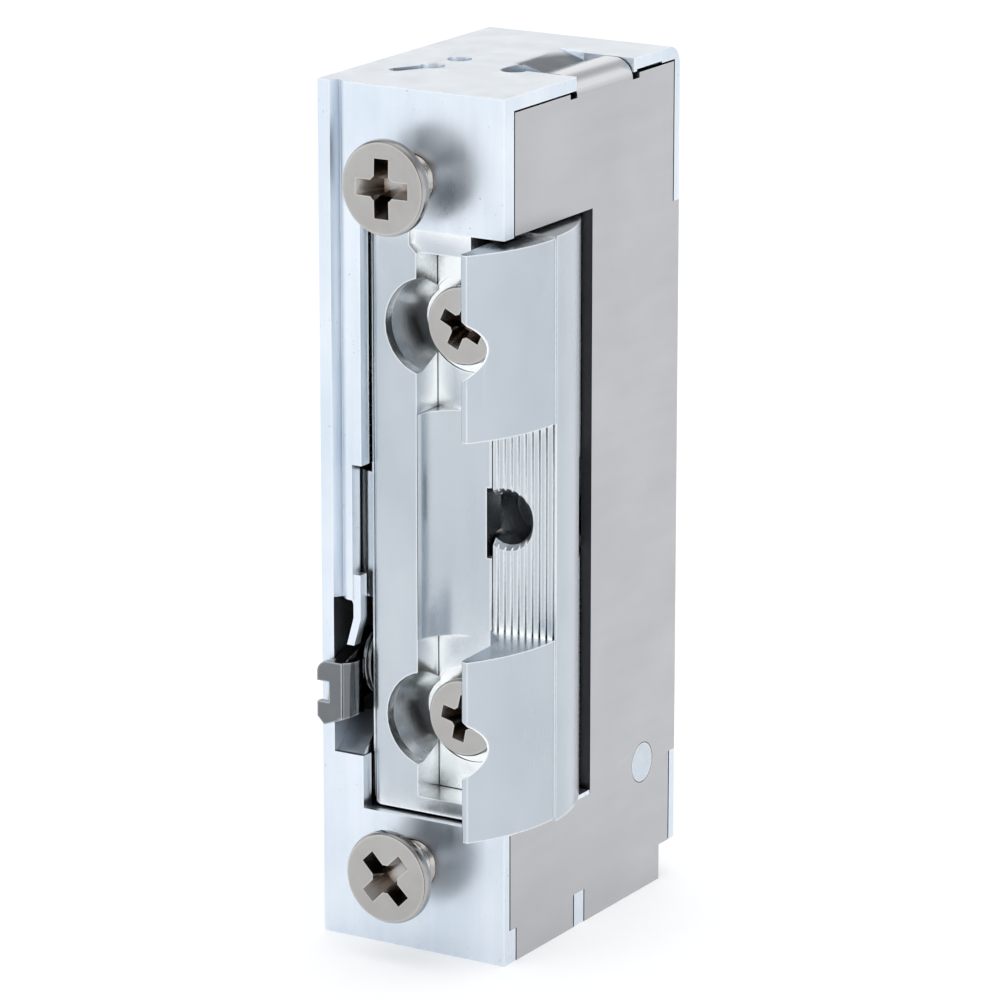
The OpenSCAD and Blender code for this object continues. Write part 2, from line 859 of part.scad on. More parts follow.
// Room for an insert screw's head in the insert
module screw_slot_floor(side) {
    bar_y(insert_screw_x, side * insert_screw_z, slot_r, 0, floor_y + slot_edge_depth);
    bar_y(insert_screw_x, side * insert_screw_z, insert_head_r + insert_head_clear, 0, insert_cone_y + eps);
    bar_y(insert_screw_x, side * insert_screw_z, insert_head_r + insert_head_clear,
        insert_cone_y, insert_neck_y, insert_shank_r + screw_clear);
}

// Cross recess of a screw whose head faces -Y: size is arm, width and depth
module cross_recess(place, size, turn) {
    translate(place)
        for (a = [0, 90])
            rotate([0, turn + a, 0])
                span_box([-size[0], -eps, -size[1] / 2], [size[0], size[2], size[1] / 2]);
}

// Countersunk screws that clamp the insert
module insert_screws() {
    color([0.70, 0.68, 0.65])
        for (side = [-1, 1])
            difference() {
                union() {
                    bar_y(insert_screw_x, side * insert_screw_z, insert_head_r, insert_head_y, insert_cone_y);
                    bar_y(insert_screw_x, side * insert_screw_z, insert_head_r, insert_cone_y, insert_neck_y,
                        insert_shank_r);
                    bar_y(insert_screw_x, side * insert_screw_z, insert_shank_r, insert_neck_y, insert_tip_y);
                }
                cross_recess([insert_screw_x, insert_head_y, side * insert_screw_z],
                    insert_recess, insert_recess_turn);
            }
}

// Countersunk machine screws for the faceplate
module faceplate_screws() {
    color([0.72, 0.70, 0.67])
        for (side = [-1, 1])
            translate([faceplate_screw_x, 0, side * faceplate_screw_z])
                difference() {
                    union() {
                        bar_y(0, 0, faceplate_head_r, faceplate_head_y, faceplate_cone_y);
                        bar_y(0, 0, faceplate_head_r, faceplate_cone_y, faceplate_neck_y, faceplate_screw_r);
                        bar_y(0, 0, faceplate_screw_r, faceplate_neck_y, faceplate_tip_y);
                    }
                    cross_recess([0, faceplate_head_y, 0], faceplate_recess,
                        faceplate_recess_turn[side > 0 ? 1 : 0]);
                }
}

// Long pin that the keeper turns on at the top, with a notch for the retaining pin
module upper_keeper_pin() {
    color("lightsteelblue")
        difference() {
            translate([pivot[0], pivot[1], upper_pin_z[0]])
                cylinder(h = upper_pin_z[1] - upper_pin_z[0], r = pin_r);
            bar_x(retaining_y, retaining_z, retaining_r + pin_fit, -far, far);
        }
}

// Short pin that the keeper turns on at the bottom
module lower_keeper_pin() {
    color("lightsteelblue")
        translate([pivot[0], pivot[1], -half_h])
            cylinder(h = half_h + hub_gap_z[0] - pin_end_gap, r = pin_r);
}

// Torsion spring on the upper pin that swings the keeper shut
module keeper_spring() {
    color("silver")
        translate([pivot[0], pivot[1], spring_gap_z[0] + keeper_coil[3]])
            rotate([0, 0, 90])
                coil_spring(keeper_coil);
}

// Cross pin seen in the top's keyhole, which locks the long keeper pin
module retaining_pin() {
    color("lightsteelblue")
        bar_x(retaining_y, retaining_z, retaining_r, -half_w + pin_end_gap, retaining_end_x);
}

// Side view of the locking lever in Y and Z
module lever_profile() {
    translate(lever_pivot)
        circle(r = lever_hub_r);
    polygon([
        [lever_arm_y[0], lever_foot_z], [lever_arm_y[1], lever_foot_z], [lever_arm_y[1], lever_neck_z[1]],
        lever_pivot + lever_hub_r * [cos(lever_neck_angle), sin(lever_neck_angle)],
        lever_pivot + [-lever_hub_r, 0], [lever_arm_y[0], lever_neck_z[0]]
    ]);
}

// Lever behind the keeper whose nose keeps it shut
module locking_lever() {
    middle = (lever_x[0] + lever_x[1]) / 2;
    color([0.62, 0.62, 0.64])
        difference() {
            union() {
                plate_x(lever_x[0], lever_x[1])
                    lever_profile();
                slab_z(nose_z[0], nose_z[1]) {
                    translate([middle, nose_y])
                        circle(r = nose_r);
                    translate([middle - nose_r, nose_y])
                        square([2 * nose_r, lever_arm_y[0] - nose_y + eps]);
                }
            }
            bar_x(lever_pivot[0], lever_pivot[1], lever_pin_r + pin_fit, -far, far);
        }
}

// Pin of the locking lever, pressed through the left wall
module lever_pin() {
    color("lightsteelblue")
        bar_x(lever_pivot[0], lever_pivot[1], lever_pin_r, -half_w + pin_end_gap, lever_x[1] + pin_stub);
}

// Torsion spring between the boss and the locking lever
module lever_spring() {
    color("silver")
        translate([lever_spring_x, lever_pivot[0], lever_pivot[1]])
            rotate([0, 90, 0])
                coil_spring(lever_coil);
}

// Hinged armature with its upright catch
module armature() {
    plate_z = [armature_hinge[1] - armature_t / 2, armature_hinge[1] + armature_t / 2];
    color([0.55, 0.56, 0.58])
        difference() {
            union() {
                span_box([armature_hinge[0], armature_y[0], plate_z[0]],
                    [armature_end_x, armature_y[1], plate_z[1]]);
                bar_y(armature_hinge[0], armature_hinge[1], armature_hub_r, armature_y[0], armature_y[1]);
                span_box([catch_stem_x, catch_y[0], plate_z[0]], [catch_x[1], catch_y[1], catch_z[1]]);
                span_box([catch_x[0], catch_y[0], catch_z[0]], [catch_x[1], catch_y[1], catch_z[1]]);
            }
            bar_y(armature_hinge[0], armature_hinge[1], armature_pin_r + pin_fit, -far, far);
        }
}

// Hinge pin of the armature
module armature_pin() {
    color("lightsteelblue")
        bar_y(armature_hinge[0], armature_hinge[1], armature_pin_r,
            yoke_y[0] - pin_end_gap, yoke_y[1] + pin_end_gap);
}

// Small coil spring that lifts the armature off the pole
module armature_spring() {
    color("silver")
        translate([armature_spring_pos[0], armature_spring_pos[1], coil_top + armature_spring_lift])
            coil_spring(armature_coil, 16);
}

// Steel yoke around the coil, with two ears for the armature's hinge
module magnet_yoke() {
    color([0.60, 0.61, 0.63])
        difference() {
            union() {
                span_box([yoke_x, yoke_y[0], yoke_bottom], [yoke_x + yoke_t, yoke_y[1], yoke_back_top]);
                span_box([yoke_x, yoke_y[0], yoke_bottom], [yoke_end_x, yoke_y[1], yoke_bottom + yoke_t]);
                for (y = [yoke_y[0], yoke_y[1] - ear_t])
                    span_box([armature_hinge[0] - ear_half_w, y, yoke_back_top - over],
                        [armature_hinge[0] + ear_half_w, y + ear_t, ear_top]);
            }
            bar_y(armature_hinge[0], armature_hinge[1], armature_pin_r + pin_fit / 4, -far, far);
            translate([coil_pos[0], coil_pos[1], yoke_bottom - over])
                cylinder(h = yoke_t + 2 * over, r = core_r);
        }
}

// Plastic bobbin
module coil_bobbin() {
    color([0.12, 0.12, 0.13])
        translate([coil_pos[0], coil_pos[1], 0])
            difference() {
                union() {
                    slab_z(bobbin_bottom, coil_top)
                        circle(r = core_r + bobbin_wall);
                    for (z = [bobbin_bottom, coil_top - bobbin_flange])
                        slab_z(z, z + bobbin_flange)
                            circle(r = bobbin_flange_r);
                }
                slab_z(bobbin_bottom - over, coil_top + over)
                    circle(r = core_r + seat_gap);
            }
}

// Copper winding on the bobbin
module coil_winding() {
    color([0.70, 0.35, 0.16])
        translate([coil_pos[0], coil_pos[1], 0])
            slab_z(bobbin_bottom + bobbin_flange + seat_gap, coil_top - bobbin_flange - seat_gap)
                difference() {
                    circle(r = coil_r);
                    circle(r = core_r + bobbin_wall + seat_gap);
                }
}

// Soft-iron core riveted into the yoke
module magnet_core() {
    color([0.66, 0.67, 0.69])
        translate([coil_pos[0], coil_pos[1], yoke_bottom])
            cylinder(h = pole_top - yoke_bottom, r = core_r);
}

// One clamp body about its pole, grown by a gap for its seat
module clamp_box(x, grow) {
    span_box([x - clamp_size[0] / 2 - grow, clamp_y - grow, clamp_z - clamp_size[2] / 2 - grow],
        [x + clamp_size[0] / 2 + grow, clamp_y + clamp_size[1] + grow, clamp_z + clamp_size[2] / 2 + grow]);
}

// Insulating block that fills the opening in the back
module terminal_block() {
    color([0.10, 0.10, 0.11])
        difference() {
            span_box([-terminal_x, terminal_y[0], terminal_z[0]], [terminal_x, terminal_y[1], terminal_z[1]]);
            for (x = pole_x) {
                clamp_box(x, clamp_gap);
                bar_y(x, clamp_z, terminal_screw_r + screw_clear, clamp_y, far);
                bar_y(x, entry_z, entry_r, entry_floor_y, far);
                span_box([x - wire_slot_half_w, wire_slot_y[0], entry_z - wire_slot_half_h],
                    [x + wire_slot_half_w, wire_slot_y[1], clamp_z - over]);
            }
        }
}

// Brass clamp bodies inside the block, each with a wire slot and a threaded hole
module terminal_clamps() {
    color([0.80, 0.65, 0.30])
        for (x = pole_x)
            difference() {
                clamp_box(x, 0);
                bar_y(x, clamp_z, terminal_thread_r + seat_gap, clamp_y - over, far);
                span_box([x - wire_slot_half_w, wire_slot_y[0], clamp_z - far],
                    [x + wire_slot_half_w, wire_slot_y[1], clamp_z + over]);
            }
}

// Slotted clamp screws of the terminals
module terminal_screws() {
    color([0.72, 0.74, 0.76])
        for (x = pole_x)
            difference() {
                union() {
                    bar_y(x, clamp_z, terminal_thread_r, terminal_screw_y[0], terminal_screw_y[1]);
                    bar_y(x, clamp_z, terminal_screw_r, terminal_screw_y[1], terminal_screw_y[2]);
                }
                span_box([x - far, terminal_screw_y[2] - driver_slot_depth, clamp_z - driver_slot_half_w],
                    [x + far, far, clamp_z + driver_slot_half_w]);
            }
}

// Two insulated leads from the coil up to the terminals
module coil_leads() {
    color([0.55, 0.10, 0.08])
        for (y = lead_y)
            translate([lead_x, y, lead_z[0]])
                cylinder(h = lead_z[1] - lead_z[0], r = lead_r);
}

// Suppressor diode across the terminals
module suppressor_diode() {
    color([0.15, 0.15, 0.16])
        bar_x(diode_y, diode_z, diode_r, -diode_half, diode_half);
    color("silver") {
        bar_x(diode_y, diode_z, diode_lead_r, -diode_lead_x, diode_lead_x);
        for (side = [-1, 1])
            translate([side * diode_lead_x, diode_y, diode_z - diode_lead_r])
                cylinder(h = terminal_z[0] - diode_z + diode_lead_r - seat_gap, r = diode_lead_r);
    }
}

// Side view of the release lever in Y and Z: tab, hub, arm and rear upright
module release_profile() {
    arm_y = release_pivot[0] + release_arm_start;
    arm_z = [release_pivot[1] + release_arm_rise[0], release_pivot[1] + release_arm_rise[1]];
    translate(release_pivot)
        circle(r = release_hub_r);
    polygon([
        [release_tab_y[0], release_tab_z[0] + release_tab_foot], release_pivot + [0, -release_hub_r],
        [arm_y, arm_z[0]], [release_upright_y, arm_z[0]], [release_rear_y, release_pivot[1]],
        [release_rear_y, release_rear_z[1]], [release_upright_y, release_rear_z[1]],
        [release_upright_y, arm_z[1]], [arm_y, arm_z[1]], release_pivot + [0, release_hub_r],
        [release_tab_y[1], release_tab_z[1]], [release_tab_y[0], release_tab_z[1]]
    ]);
}

// Front tab with a rounded top corner, bent back in a wide curve
module release_tab() {
    corner = [release_tab_x + release_tab_round, release_tab_z[1] - release_tab_round];
    bend = [release_bend_x - release_bend_r, release_tab_y[0] + release_bend_r];
    intersection() {
        translate([0, release_bend_y, 0])
            rotate([90, 0, 0])
                linear_extrude(height = far)
                    difference() {
                        polygon([
                            [release_tab_x, release_tab_z[0] + release_tab_foot],
                            [release_tab_x + release_tab_foot, release_tab_z[0]],
                            [release_bend_x, release_bend_foot], [release_bend_x, release_tab_z[1]],
                            [release_tab_x, release_tab_z[1]]
                        ]);
                        difference() {
                            translate([corner[0] - far, corner[1]])
                                square(far);
                            translate(corner)
                                circle(r = release_tab_round);
                        }
                    }
        slab_z(release_tab_z[0], release_tab_z[1])
            union() {
                translate([release_tab_x, release_tab_y[0]])
                    square([bend[0] - release_tab_x, release_tab_y[1] - release_tab_y[0]]);
                translate(bend)
                    intersection() {
                        circle(r = release_bend_r);
                        translate([-eps, -release_bend_r])
                            square(release_bend_r + eps);
                    }
                translate([release_x[0], bend[1] - eps])
                    square([release_bend_x - release_x[0], release_bend_y - bend[1] + eps]);
            }
    }
}

// Mechanical release lever with its forked front end
module release_lever() {
    color([0.36, 0.38, 0.38])
        difference() {
            union() {
                plate_x(release_x[0], release_x[1])
                    release_profile();
                release_tab();
                span_box([release_x[0], release_upright_y, release_rear_z[0]],
                    [release_finger_x, release_rear_y, release_rear_z[1]]);
            }
            bar_x(release_pivot[0], release_pivot[1], release_pin_r + pin_fit, -far, far);
            span_box([release_tab_x - over, -far, release_notch_z[0]],
                [release_notch_x, release_tab_y[1] + eps, release_notch_z[1]]);
        }
}

// Pin of the release lever
module release_pin() {
    color("lightsteelblue")
        bar_x(release_pivot[0], release_pivot[1], release_pin_r, -half_w + pin_end_gap, release_pin_end_x);
}

// Torsion spring that returns the release lever
module release_spring() {
    color([0.40, 0.41, 0.42])
        translate([release_spring_x, release_pivot[0], release_pivot[1]])
            rotate([0, 90, 0])
                coil_spring(release_coil, 28);
}

housing();
side_cover();
cover_rivet();
keeper_body();
keeper_insert();
insert_screws();
upper_keeper_pin();
lower_keeper_pin();
keeper_spring();
retaining_pin();
locking_lever();
lever_pin();
lever_spring();
armature();
armature_pin();
armature_spring();
magnet_yoke();
coil_bobbin();
coil_winding();
magnet_core();
terminal_block();
terminal_clamps();
terminal_screws();
coil_leads();
suppressor_diode();
release_lever();
release_pin();
release_spring();
faceplate_screws();
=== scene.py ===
"""Looks of the electric door strike: metals, screws, springs, winding, floor, lights and camera.

Lengths are in metres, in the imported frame: +Z runs along the body, -Y faces the faceplate.
Names that end in _mm or _MM hold millimetres. Colours are linear red, green and blue.
"""
import json
import math
from collections import namedtuple

import bmesh
import bpy
from mathutils import Matrix, Vector


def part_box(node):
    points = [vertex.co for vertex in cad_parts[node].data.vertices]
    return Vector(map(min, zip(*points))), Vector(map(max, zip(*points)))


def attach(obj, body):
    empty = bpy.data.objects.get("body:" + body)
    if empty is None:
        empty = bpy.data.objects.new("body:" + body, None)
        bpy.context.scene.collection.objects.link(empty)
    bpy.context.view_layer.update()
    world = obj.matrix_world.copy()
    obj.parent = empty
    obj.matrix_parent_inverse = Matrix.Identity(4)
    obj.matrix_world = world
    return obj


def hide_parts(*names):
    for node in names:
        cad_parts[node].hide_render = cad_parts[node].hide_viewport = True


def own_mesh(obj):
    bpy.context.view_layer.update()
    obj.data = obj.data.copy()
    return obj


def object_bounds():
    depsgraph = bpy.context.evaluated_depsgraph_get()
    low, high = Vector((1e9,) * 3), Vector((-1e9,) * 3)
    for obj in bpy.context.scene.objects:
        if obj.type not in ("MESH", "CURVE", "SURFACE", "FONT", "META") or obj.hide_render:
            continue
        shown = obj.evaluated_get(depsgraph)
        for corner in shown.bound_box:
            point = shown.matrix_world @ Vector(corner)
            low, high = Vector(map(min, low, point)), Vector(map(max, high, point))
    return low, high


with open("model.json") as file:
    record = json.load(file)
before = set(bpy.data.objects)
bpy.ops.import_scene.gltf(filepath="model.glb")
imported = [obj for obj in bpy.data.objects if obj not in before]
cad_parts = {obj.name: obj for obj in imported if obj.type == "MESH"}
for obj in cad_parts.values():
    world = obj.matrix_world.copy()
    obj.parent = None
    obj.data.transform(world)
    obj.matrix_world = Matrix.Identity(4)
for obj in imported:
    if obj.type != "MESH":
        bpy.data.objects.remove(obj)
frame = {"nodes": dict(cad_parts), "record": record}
cad_low, cad_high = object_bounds()
NODES = frame["nodes"]
MM = 0.001
UP = (0, 0, 1)
FRONT = (0, -1, 0)
WHITE = (1, 1, 1)

# Edge rounding of the carried-over nodes, in millimetres
EDGE_ROUND = {
    "housing": 0.16, "side_cover": 0.12, "cover_rivet": 0.1, "keeper_body": 0.14, "keeper_insert": 0.16,
    "upper_keeper_pin": 0.12, "lower_keeper_pin": 0.15, "retaining_pin": 0.1, "locking_lever": 0.15,
    "lever_pin": 0.12, "armature": 0.12, "armature_pin": 0.08, "magnet_yoke": 0.12, "coil_bobbin": 0.1,
    "magnet_core": 0.12, "terminal_block": 0.15, "terminal_clamps": 0.12, "suppressor_diode": 0.12,
    "release_lever": 0.18, "release_pin": 0.12,
}
EDGE_SEGMENTS = 3
EDGE_ANGLE = math.radians(32)
WELD_MM = 0.002

# The sloping face in the housing's top is painted dark, as painted shade and a dark reflection
RAMP_FACING = (0.247, 0, 0.969)

# Noise seldom leaves this range, so it is stretched from here to the full range of roughness
NOISE_RANGE = (0.25, 0.75)
# How much of each finer layer a noise pattern keeps
NOISE_ROUGHNESS = 0.55
# Rounded edges, lightened partly as wear and partly as a painted highlight: radius, and the cosines between
# which it fades out
WORN_HIGHLIT_EDGE_MM = 0.22
WORN_HIGHLIT_EDGE_COSINES = (0.80, 0.985)
# Zinc's colour on rounded edges: wear and a painted highlight
ZINC_WEAR_AND_HIGHLIGHT = (0.97, 0.985, 1.0)
# How far the shading looks round a point for narrow gaps and for deep bores
GAP_MM = 1.5
BORE_MM = 7.0
# Roughness of the cover's pressed bend, as a grey
POLISHED = (0.14, 0.14, 0.14)

# Screw heads: the crown's height, its rings as shares of the radius, and the rounding as a share of the rim
CROWN = 0.15 * MM
CROWN_SHARES = (0.25, 0.6, 0.85, 0.95)
RIM_ROUNDING = 0.5
RIM_ROUNDING_ROWS = 4
# Points in each ring of a screw, and rings in each turn of its thread
SCREW_SIDES = 64
THREAD_ROWS = 8
# Threads, in shares of the pitch: depth, run-out under the head and plain end
THREAD_DEPTH = 0.32
THREAD_RUN_OUT = 0.15
THREAD_END = 0.6
# The thread's wave is raised this much and cut off at the shank's radius, which leaves a flat crest
THREAD_RAISE = 1.15
# Radius of a screw's end, as a share of the shank's
SCREW_END_SHARE = 0.62
# The driver that cuts a recess: how far it starts above the head, and how its wings and core taper
DRIVER_LEAD = 0.3 * MM
WING_LENGTH_TAPER = 0.42
WING_WIDTH_TAPER = 0.72
CORE_TAPER = 0.45
CORE_DEPTH_SHARE = 0.9
CORE_SIDES = 24
SCREW_SHARP_ANGLE = math.radians(28)
SCREW_BEVEL_MM = 0.06
SCREW_BEVEL_ANGLE = math.radians(40)

Recess = namedtuple("Recess", "arm width depth core")
Screw = namedtuple("Screw", "head_r rim shank_r length pitch")

FLOOR_SIZE = 6.0
LIGHT_AIM = (0, 0.012, 0)
# Softboxes: name, place, width and height, watts, colour
SOFTBOXES = (
    ("top_softbox", (0.05, 0.15, 0.75), (0.7, 0.7), 0.9, WHITE),
    ("front_left_softbox", (-0.50, -0.55, 0.30), (0.5, 0.6), 0.5, (0.93, 0.97, 1.0)),
    ("right_softbox", (0.75, -0.10, 0.25), (0.5, 0.6), 0.5, WHITE),
)
# Studio: bright walls, a darker band between the wall and the ceiling panel, bright ceiling
STUDIO_LEVELS = ((0.0, 0.98), (0.42, 1.0), (0.56, 0.40), (0.80, 0.50), (0.93, 1.0))
STUDIO_TINT = (0.985, 0.99, 1.0)

# Camera: a long lens, to the right of the front and above it, aimed beside the box's centre
LENS_MM = 196.5
CAMERA_AZIMUTH = math.radians(31.08)
CAMERA_ELEVATION = math.radians(15.31)
CAMERA_DISTANCE = 0.403
AIM_OFFSET_MM = (4.85, -7.86, 2.24)
CLIP_RANGE = (0.01, 20)


# ---------------------------------------------------------------- materials

def set_stops(color_ramp, stops):
    """Gives a colour ramp its stops. Each is (position, number or colour)."""
    elements = color_ramp.elements
    while len(elements) < len(stops):
        elements.new(0.5)
    for element, (position, colour) in zip(elements, stops):
        if isinstance(colour, (int, float)):
            colour = (colour, colour, colour)
        element.position = position
        element.color = (*colour, 1)


def scaled(colour, gain, lift=0.0):
    """A colour made lighter or darker, kept within 1."""
    return [min(1, c * gain + lift) for c in colour]


class Shader:
    """A Principled material and short calls for the nodes that feed it. Patterns are in millimetres."""

    def __init__(self, name, metallic, roughness):
        self.roughness = roughness
        self.material = bpy.data.materials.new(name)
        self.material.use_nodes = True
        self.tree = self.material.node_tree
        self.bsdf = self.tree.nodes["Principled BSDF"]
        self.bsdf.inputs["Metallic"].default_value = metallic
        self.bsdf.inputs["Roughness"].default_value = sum(roughness) / 2
        texture_space = self.tree.nodes.new("ShaderNodeTexCoord")
        self.coords = texture_space.outputs["Object"]
        self.normals = texture_space.outputs["Normal"]

    def feed(self, socket, value):
        if isinstance(value, bpy.types.NodeSocket):
            self.tree.links.new(value, socket)
        else:
            socket.default_value = value

    def node(self, kind, **inputs):
        made = self.tree.nodes.new(kind)
        for name, value in inputs.items():
            self.feed(made.inputs[name], value)
        return made

    def place(self, stretch, shift):
        """Object coordinates in millimetres, stretched along the axes."""
        mapping = self.node("ShaderNodeMapping", Vector=self.coords, Location=shift)
        mapping.inputs["Scale"].default_value = [1 / MM / s for s in stretch]
        return mapping.outputs["Vector"]

    def noise(self, size_mm, detail, stretch=(1, 1, 1), shift=(0, 0, 0)):
        """Cloudy noise from 0 to 1."""
        spot = self.place(stretch, shift)
        made = self.node("ShaderNodeTexNoise", Vector=spot, Scale=1 / size_mm, Detail=detail)
        made.inputs["Roughness"].default_value = NOISE_ROUGHNESS
        return made.outputs["Fac"]

    def ramp(self, value, stops):
        """A value or colour ramp. Each stop is (position, number or colour)."""
        made = self.node("ShaderNodeValToRGB", Fac=value)
        set_stops(made.color_ramp, stops)
        return made.outputs["Color"]

    def mix(self, factor, a, b, blend="MIX"):
        made = self.tree.nodes.new("ShaderNodeMix")
        made.data_type = "RGBA"
        made.blend_type = blend
        # The sockets for colours, among those for the node's other data types
        factor_in, a_in, b_in, colour_out = made.inputs[0], made.inputs[6], made.inputs[7], made.outputs[2]
        self.feed(factor_in, factor)
        for socket, colour in ((a_in, a), (b_in, b)):
            self.feed(socket, colour if isinstance(colour, bpy.types.NodeSocket) else (*colour, 1))
        return colour_out

    def combine(self, kind, operation, a, b):
        made = self.tree.nodes.new(kind)
        made.operation = operation
        self.feed(made.inputs[0], a)
        self.feed(made.inputs[1], b)
        return made.outputs["Value"]

    def math(self, operation, a, b):
        return self.combine("ShaderNodeMath", operation, a, b)

    def dot(self, a, b):
        return self.combine("ShaderNodeVectorMath", "DOT_PRODUCT", a, b)

    def roughness_from(self, pattern):
        """A pattern spread over the material's range of roughness."""
        made = self.node("ShaderNodeMapRange", Value=pattern)
        made.inputs["From Min"].default_value, made.inputs["From Max"].default_value = NOISE_RANGE
        made.inputs["To Min"].default_value, made.inputs["To Max"].default_value = self.roughness
        return made.outputs["Result"]

    def bump(self, height, strength, depth_mm, under=None):
        made = self.node("ShaderNodeBump", Height=height, Strength=strength, Distance=depth_mm * MM)
        if under is not None:
            self.feed(made.inputs["Normal"], under)
        return made.outputs["Normal"]

    def finish(self, colour, roughness, normal=None):
        self.feed(self.bsdf.inputs["Base Color"], colour)
        self.feed(self.bsdf.inputs["Roughness"], roughness)
        if normal is not None:
            self.feed(self.bsdf.inputs["Normal"], normal)
        return self.material


def worn_and_highlit_edges(shader, colour, bright, strength):
    """Lightens rounded edges: partly wear of the plating by handling, partly a painted highlight where edges
    catch the light.
    """
    rounded = shader.node("ShaderNodeBevel", Radius=WORN_HIGHLIT_EDGE_MM * MM).outputs["Normal"]
    flat = shader.node("ShaderNodeNewGeometry").outputs["Normal"]
    on_edge, off_edge = WORN_HIGHLIT_EDGE_COSINES
    edge = shader.ramp(shader.dot(rounded, flat), [(on_edge, strength), (off_edge, 0.0)])
    return shader.mix(edge, colour, bright)


def openness(shader, depth_mm, samples=8):
    """How open a place is, from 0 in a deep bore to 1 on a free face, looking depth_mm around it."""
    cavity = shader.node("ShaderNodeAmbientOcclusion", Distance=depth_mm * MM)
    cavity.samples = samples
    return cavity.outputs["AO"]


def shaded_cavities(shader, colour, darkest=0.45, bore=0.04):
    """Painted shade: darkens gaps a little and deep bores a lot, where little light reaches."""
    for depth_mm, stops in ((GAP_MM, [(0.05, darkest), (0.45, 1.0)]), (BORE_MM, [(0.11, bore), (0.17, 1.0)])):
        colour = shader.mix(1.0, colour, shader.ramp(openness(shader, depth_mm), stops), "MULTIPLY")
    return colour


def facing(shader, direction, low, high, normals=None):
    """0 to 1 as a surface turns to face along a direction, from the low to the high cosine."""
    turned = shader.dot(normals or shader.normals, Vector(direction).normalized())
    return shader.ramp(turned, [(low, 0.0), (high, 1.0)])


def draw_streaks(shader):
    """Faint marks of the mould, along the body."""
    return shader.noise(size_mm=0.9, detail=5, stretch=(1, 1, 22), shift=(3, 1, 0))


def cast_tone(shader, streaks, streak):
    """Cloudy patches with the streaks over them, from dark at 0 to light at 1."""
    cloud = shader.noise(size_mm=7.0, detail=3, stretch=(1, 1, 1.6))
    cloud_part = shader.math("MULTIPLY", cloud, 1 - streak / 2)
    streak_part = shader.math("MULTIPLY", streaks, streak / 2)
    return shader.ramp(shader.math("ADD", cloud_part, streak_part), [(0.3, 0.0), (0.74, 1.0)])


def casting_pits(shader, pits):
    """Small pits that come in patches."""
    specks = shader.noise(size_mm=0.28, detail=2, shift=(11, 5, 2))
    patches = shader.noise(size_mm=4.5, detail=2, shift=(2, 8, 5))
    pitted = shader.ramp(specks, [(0.68, 0.0), (0.74, 1.0)])
    return shader.math("MULTIPLY", pitted, shader.ramp(patches, [(0.48, 0.0), (0.66, pits)]))


def half_open_pockets(shader):
    """1 in half-open pockets, 0 on free faces and in deep bores."""
    return shader.ramp(openness(shader, BORE_MM), [(0.14, 0.0), (0.2, 1.0), (0.5, 1.0), (0.66, 0.0)])


def flat_facing(shader, direction):
    """1 on flat faces that look along a direction, and 0 on rounded edges that only turn through it."""
    flat = shader.node("ShaderNodeNewGeometry").outputs["True Normal"]
    shares = [facing(shader, direction, low=0.985, high=0.996, normals=way) for way in (shader.normals, flat)]
    return shader.math("MULTIPLY", *shares)


def cast_metal(name, dark, light, roughness, streak, pits, edge, darkest, bore=0.04,
               painted_shade_facing=None, top=None, painted_pocket_light=None):
    """Plated zinc casting: cloudy tone, faint draw streaks along the body and a few dark pits.

    The last three arguments: a direction whose flat faces are painted dark as painted shade, a lighter colour
    painted on upward faces as painted light from above, and a near-white colour painted in half-open pockets
    as painted light.
    """
    s = Shader(name, 1.0, roughness)
    streaks = draw_streaks(s)
    pit = casting_pits(s, pits)
    colour = s.mix(cast_tone(s, streaks, streak), dark, light)
    colour = s.mix(pit, colour, scaled(dark, 0.45))
    # Upward faces painted lighter: painted light from above
    if top:
        colour = s.mix(facing(s, UP, low=0.9, high=0.98), colour, top)
    # Half-open pockets painted near white: painted light where the shading leaves them dark
    if painted_pocket_light:
        colour = s.mix(half_open_pockets(s), colour, painted_pocket_light)
    # The sloping top face painted nearly black: painted shade and a dark reflection
    if painted_shade_facing:
        colour = s.mix(flat_facing(s, painted_shade_facing), colour, scaled(dark, 0.22))
    # Rounded edges lightened: wear and a painted highlight
    colour = worn_and_highlit_edges(s, colour, ZINC_WEAR_AND_HIGHLIGHT, edge)
    grain = s.noise(size_mm=0.16, detail=3, stretch=(1, 1, 2))
    rough = s.roughness_from(s.noise(size_mm=2.2, detail=4, stretch=(1, 1, 5), shift=(5, 0, 9)))
    normal = s.bump(s.math("SUBTRACT", grain, pit), strength=0.35, depth_mm=0.012)
    normal = s.bump(streaks, strength=streak / 2, depth_mm=0.01, under=normal)
    return s.finish(shaded_cavities(s, colour, darkest, bore), rough, normal)


def sheet_metal(name, base, roughness, edge):
    """Fine matt plated sheet: nearly even, with a soft grain, faint roll lines, front-facing cut edges
    painted dark as painted shade, and a painted highlight on upward bends.
    """
    s = Shader(name, 1.0, roughness)
    cloud = s.ramp(s.noise(size_mm=9.0, detail=2), [(0.3, 0.0), (0.7, 1.0)])
    colour = s.mix(cloud, scaled(base, 0.96), scaled(base, 1.03))
    # Rounded edges lightened: wear and a painted highlight
    colour = worn_and_highlit_edges(s, colour, scaled(base, 1.2), strength=0.5)
    # Front-facing cut edges painted nearly black: painted shade of the gap beside them
    colour = s.mix(facing(s, FRONT, low=0.6, high=0.9), colour, edge)
    # Pressing polishes the bend and the tab above it; their upward faces are also painted lighter as a
    # painted highlight
    polished_and_highlit = facing(s, UP, low=0.12, high=0.4)
    colour = s.mix(polished_and_highlit, colour, scaled(base, 1.45))
    rough = s.roughness_from(s.noise(size_mm=1.3, detail=4, stretch=(1, 6, 1), shift=(4, 4, 4)))
    rough = s.mix(polished_and_highlit, rough, POLISHED)
    grain = s.noise(size_mm=0.09, detail=2)
    roll_lines = s.noise(size_mm=0.22, detail=4, stretch=(1, 30, 1))
    normal = s.bump(grain, strength=0.3, depth_mm=0.008)
    normal = s.bump(roll_lines, strength=0.12, depth_mm=0.006, under=normal)
    return s.finish(shaded_cavities(s, colour), rough, normal)


